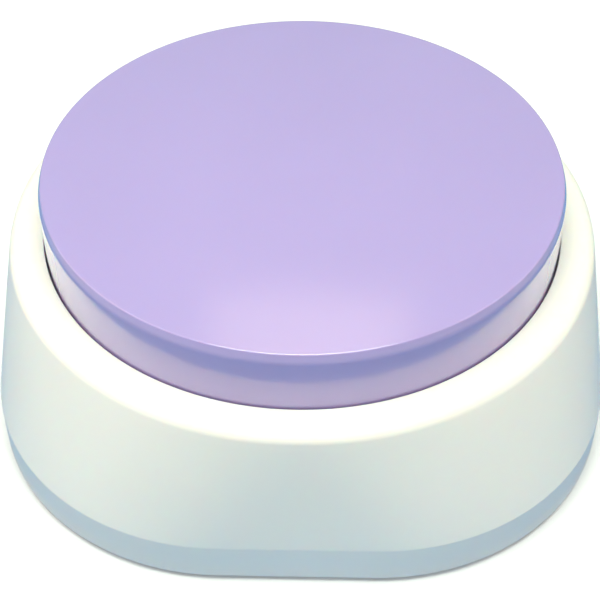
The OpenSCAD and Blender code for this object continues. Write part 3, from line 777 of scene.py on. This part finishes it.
def door():
    panel = rounded_plate("door", lambda g: lug_outline(g, HINGE_X - g if g else HINGE_X),
                          BASE_Z, DOOR_TOP, 0.25)
    knuckle = turned(cylinder("knuckle", 0.8, 0, 2 * BOX_HALF[1], segments=48), -90, "X")
    adds = [moved(knuckle, HINGE_X, BOX_Y - BOX_HALF[1], HINGE_Z)]
    adds += tongue_blocks(0, HINGE_Z + 0.05, DOOR_TOP - 0.005, HINGE_X - 2.4, HINGE_X + 0.5)
    combine(panel, "UNION", adds)
    cuts = [flared_hole("counterbore", 2.6, BASE_Z, 1.9, (LUG_X, BOX_Y), 0.2, 48),
            cylinder("screw hole", 1.35, 1.8, 4, (LUG_X, BOX_Y), 32)]
    for i in range(4):
        x = 20.5 - 2.2 * i
        cuts.append(flared_prism("groove", lambda g, x=x: rectangle((x, BOX_Y), (0.45 + g, 6 + g), 0.4),
                                 BASE_Z, BASE_Z + 0.35, 0.15))
    return combine(panel, "DIFFERENCE", cuts)


placed(door(), "door", "battery_door", WHITE_BASE, 30)


# ---- Screws and feet ----

def pan_screw(name, spot, low, head_r, head, shank_r, shank):
    """Pan-head screw pointing up, with a cross recess and a rolled tip."""
    profile = [(0, low)] + arc(head_r - head * 0.6, low + head * 0.6, head * 0.6, 270, 360, 6)
    profile += [(head_r, low + head), (shank_r, low + head), (shank_r, low + head + shank - shank_r),
                (shank_r * 0.35, low + head + shank), (0, low + head + shank)]
    screw = lathe(name, profile, spot, 48)
    wide, thin, deep = head_r * 0.6, head_r * 0.13, head * 0.55
    cross = combine(
        block("cross", (spot[0] - wide, spot[1] - thin, low - 1),
                       (spot[0] + wide, spot[1] + thin, low + deep)),
        "UNION",
        [block("cross", (spot[0] - thin, spot[1] - wide, low - 1.1),
                        (spot[0] + thin, spot[1] + wide, low + deep))])
    return combine(screw, "DIFFERENCE", [cross])


screws = [pan_screw("screw", spot, SCREW_LOW.z, 2.8, 1.6, 1.4, 9) for spot in side_spots()]
placed(joined("case_screws", screws), "housing", "housing_screws", STEEL)
placed(pan_screw("door_screw", (LUG_X, BOX_Y), BASE_Z + 0.15, 2.3, 0.95, 1.0, 3.5), "door",
       "battery_door_screw", STEEL)


def foot(spot):
    edge = 0.35
    top = FEET_HIGH.z
    profile = [(0, 0)] + arc(FOOT_R - edge, edge, edge, 270, 360, 6)
    profile += [(FOOT_R, top), (0, top)]
    return lathe("foot", profile, spot, 72)


placed(joined("feet", [foot(spot) for spot in four_corners(FOOT_AT, FOOT_AT)]), "housing", "rubber_feet",
       RUBBER)


# ---- Power ----

def cell(name, flip):
    """AAA cell along X, with a rolled crimp at each end and its nub."""
    can, radius = 43.5, (CELL_HIGH.z - CELL_LOW.z) / 2
    profile = [(0, 0), (3.6, 0), (3.7, 0.15), (radius - 0.7, 0.15)]
    profile += arc(radius - 0.4, 0.4, 0.4, 250, 360, 6)
    profile += arc(radius - 0.5, can - 0.5, 0.5, 0, 90, 6)
    profile += [(radius - 0.9, can), (radius - 1.2, can - 0.3), (2.75, can - 0.3), (2.75, can + 0.8)]
    profile += arc(2.55, can + 0.8, 0.2, 0, 90, 4)
    profile += [(0, can + 1)]
    body = turned(lathe(name, profile, segments=96), 90, "Y")
    moved(body, -(can + 1) / 2, 0, 0)
    if flip:
        turned(body, 180, "Z")
    node = "battery_front" if flip else "battery_back"
    low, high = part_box(node)
    body.location = (low + high) / 2
    return placed(body, "housing", node, CELL)


cell("cell_front", True)
cell("cell_back", False)


def knob():
    """Switch knob with gripping ridges."""
    x, y = SWITCH_AT[0], KNOB_REST_Y
    thumb = rounded_plate("knob", lambda g: rectangle((x, y), (1.2 + g, 1.4 + g), 0.3), 1.0, 1.85, 0.15)
    combine(thumb, "DIFFERENCE", [block("groove", (x - 1.5, y + s - 0.125, 0.5),
                                        (x + 1.5, y + s + 0.125, 1.25))
                                  for s in (-0.7, 0, 0.7)])
    return combine(thumb, "UNION", [block("stem", (x - 0.8, y - 0.9, 1.7), (x + 0.8, y + 0.9, 3.2)),
                                    block("slider", (x - 1, y - 1.6, 3.1), (x + 1, y + 1.6, 5))])


placed(knob(), "switch", "power_switch_knob", BLACK_PLASTIC)

for node, finish in (
    ("contact_bridge", WIRE_STEEL), ("contact_negative", WIRE_STEEL), ("contact_positive", WIRE_STEEL),
    ("circuit_board", BOARD), ("sound_chip", RESIN), ("board_components", COMPONENT), ("capacitor", SLEEVE),
    ("speaker_frame", PRESSED_STEEL), ("speaker_magnet", FERRITE), ("speaker_cone", FILM),
    ("speaker_clamp_ring", WHITE_BASE), ("speaker_screws", STEEL), ("board_screws", STEEL),
    ("power_switch_body", PRESSED_STEEL), ("speaker_wires", RED_WIRE), ("battery_wires", BLACK_WIRE),
    ("switch_wires", BLUE_WIRE),
):
    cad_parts[node].data.materials.clear()
    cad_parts[node].data.materials.append(finish)


# ---- Floor, lights and camera ----

SURROUND = (0.12, 0.29, 0.27)


def lit_only(light, names):
    """Keeps a light to the named pieces."""
    group = bpy.data.collections.new(light.name)
    for name in names:
        group.objects.link(bpy.data.objects[name])
    light.light_linking.receiver_collection = group


def camera_seen(nodes, links, plain, seen, target):
    """Gives a stage surface one look in the picture, and another in what it lights and reflects."""
    mix = nodes.new("ShaderNodeMixShader")
    links.new(nodes.new("ShaderNodeLightPath").outputs["Is Camera Ray"], mix.inputs["Fac"])
    links.new(plain, mix.inputs[1])
    links.new(seen, mix.inputs[2])
    links.new(mix.outputs["Shader"], target)


def worked(nodes, links, operation, first, second):
    """A math node fed by two sockets or numbers."""
    node = nodes.new("ShaderNodeMath")
    node.operation = operation
    for slot, value in enumerate((first, second)):
        if isinstance(value, (int, float)):
            node.inputs[slot].default_value = value
        else:
            links.new(value, node.inputs[slot])
    return node.outputs["Value"]


def ramp_from(nodes, links, value, start, end, top=1.0):
    """Rises evenly from 0 at start to top at end."""
    node = nodes.new("ShaderNodeMapRange")
    node.inputs["From Min"].default_value = start
    node.inputs["From Max"].default_value = end
    node.inputs["To Max"].default_value = top
    links.new(value, node.inputs["Value"])
    return node.outputs["Result"]


def blend(nodes, links, share, first, second):
    """Mixes two colours."""
    node = nodes.new("ShaderNodeMix")
    node.data_type = "RGBA"
    links.new(share, node.inputs["Factor"])
    node.inputs[6].default_value = (*first, 1)
    node.inputs[7].default_value = (*second, 1)
    return node.outputs[2]


def pale_look(nodes, links, far):
    """What the camera sees of the floor: pale, and bright far off."""
    seen = nodes["Principled BSDF"]
    seen.inputs["Base Color"].default_value = (0.88, 0.89, 0.90, 1)
    seen.inputs["Roughness"].default_value = 0.9
    seen.inputs["Specular IOR Level"].default_value = 0.1
    seen.inputs["Emission Color"].default_value = (0.95, 0.98, 1, 1)
    links.new(ramp_from(nodes, links, far, 0.12, 0.7, 0.85), seen.inputs["Emission Strength"])
    return seen.outputs["BSDF"]


def cloth_look(nodes, links, far):
    """What light and reflections meet instead: a blue cloth, paler beyond the object."""
    cloth = nodes.new("ShaderNodeBsdfDiffuse")
    ring = ramp_from(nodes, links, far, 0.09, 0.12)
    links.new(blend(nodes, links, ring, (0.09, 0.27, 0.53), (0.40, 0.50, 0.60)), cloth.inputs["Color"])
    return cloth.outputs["BSDF"]


def clear_share(nodes, links):
    """1 where the floor is seen from below, or met by a reflection within 4 mm."""
    path = nodes.new("ShaderNodeLightPath")
    near = worked(nodes, links, "LESS_THAN", path.outputs["Ray Length"], 0.004)
    near = worked(nodes, links, "MULTIPLY", near, path.outputs["Is Glossy Ray"])
    below = nodes.new("ShaderNodeNewGeometry").outputs["Backfacing"]
    return worked(nodes, links, "MAXIMUM", near, below)


def floor():
    """Stage floor: pale to the camera, blue to the light, clear from below to show the underside."""
    size = 3000
    piece = new_piece("floor", [(-size, -size, 0), (size, -size, 0), (size, size, 0), (-size, size, 0)],
                      [[0, 1, 2, 3]])
    piece.visible_shadow = False
    material = bpy.data.materials.new("pale floor")
    material.use_nodes = True
    nodes, links = material.node_tree.nodes, material.node_tree.links
    distance = nodes.new("ShaderNodeVectorMath")
    distance.operation = "LENGTH"
    links.new(nodes.new("ShaderNodeTexCoord").outputs["Object"], distance.inputs[0])
    far = distance.outputs["Value"]
    above = nodes.new("ShaderNodeMixShader")
    camera_seen(nodes, links, cloth_look(nodes, links, far), pale_look(nodes, links, far), above.inputs[1])
    links.new(clear_share(nodes, links), above.inputs["Fac"])
    links.new(nodes.new("ShaderNodeBsdfTransparent").outputs["BSDF"], above.inputs[2])
    links.new(above.outputs["Shader"], nodes["Material Output"].inputs["Surface"])
    piece.data.materials.append(material)


def area_light(name, spot, aim, size, power, colour=(1, 1, 1)):
    data = bpy.data.lights.new(name, "AREA")
    data.shape = "RECTANGLE"
    data.size, data.size_y = size
    data.energy = power
    data.color = colour
    light = bpy.data.objects.new(name, data)
    light.location = spot
    light.rotation_euler = (Vector(aim) - Vector(spot)).to_track_quat("-Z", "Y").to_euler()
    bpy.context.scene.collection.objects.link(light)
    return light


def studio_world():
    """Pale background for the camera, and a dim bluish surround for everything else."""
    world = bpy.data.worlds.new("studio")
    bpy.context.scene.world = world
    world.use_nodes = True
    nodes, links = world.node_tree.nodes, world.node_tree.links
    split = nodes.new("ShaderNodeSeparateXYZ")
    links.new(nodes.new("ShaderNodeTexCoord").outputs["Generated"], split.inputs["Vector"])
    below = worked(nodes, links, "LESS_THAN", split.outputs["Z"], -0.05)
    surround = nodes["Background"]
    links.new(blend(nodes, links, below, SURROUND, (0.6, 0.62, 0.64)), surround.inputs["Color"])
    backdrop = nodes.new("ShaderNodeBackground")
    backdrop.inputs["Color"].default_value = (0.80, 0.84, 0.87, 1)
    camera_seen(nodes, links, surround.outputs["Background"], backdrop.outputs["Background"],
                nodes["World Output"].inputs["Surface"])


def lighting():
    """A softbox above, a small one behind it for the highlight, side fills, and two for below."""
    studio_world()
    area_light("top softbox", (0.0, -0.1, 0.6), (0, 0, 0.03), (0.4, 0.3), 3.35, (0.92, 1.0, 0.92))
    area_light("highlight strip", (0.0, 0.14, 0.5), (0, 0, 0.03), (0.14, 0.36), 0.22, (1.0, 0.75, 0.45))
    area_light("left fill", (-0.5, 0.0, 0.45), (0, 0, 0.02), (0.6, 0.6), 2.2, (1.0, 0.70, 0.55))
    area_light("right fill", (0.5, 0.0, 0.45), (0, 0, 0.02), (0.6, 0.6), 1.45, (1.0, 0.56, 0.40))
    area_light("front fill", (0.0, -0.6, 0.35), (0, 0, 0.02), (0.9, 0.5), 1.15, (1.0, 0.60, 0.50))
    under = area_light("under fill", (0.0, 0.0, -0.6), (0, 0, 0), (0.4, 0.4), 1.9, (1.0, 0.95, 0.9))
    lit_only(under, ("cover", "door", "knob", "case_screws", "door_screw", "feet"))
    edge = area_light("edge fill", (0.0, 0.0, -0.6), (0, 0, 0), (0.4, 0.4), 0.7, (1.0, 0.85, 0.7))
    lit_only(edge, ("housing",))


def camera():
    distance, target_z = 220.5, 10.0
    elevation, azimuth = math.radians(44.31), math.radians(1.19)
    back = Vector((math.sin(azimuth) * math.cos(elevation), -math.cos(azimuth) * math.cos(elevation),
                   math.sin(elevation)))
    data = bpy.data.cameras.new("camera")
    data.sensor_width = 36
    data.lens = 85.34
    data.shift_x = -0.0037
    data.clip_start = 0.01
    piece = bpy.data.objects.new("camera", data)
    piece.location = (Vector((0, 0, target_z)) + back * distance) * MM
    piece.rotation_euler = (-back).to_track_quat("-Z", "Y").to_euler()
    bpy.context.scene.collection.objects.link(piece)
    bpy.context.scene.camera = piece


floor()
lighting()
camera()
bpy.context.scene.view_settings.view_transform = "Standard"
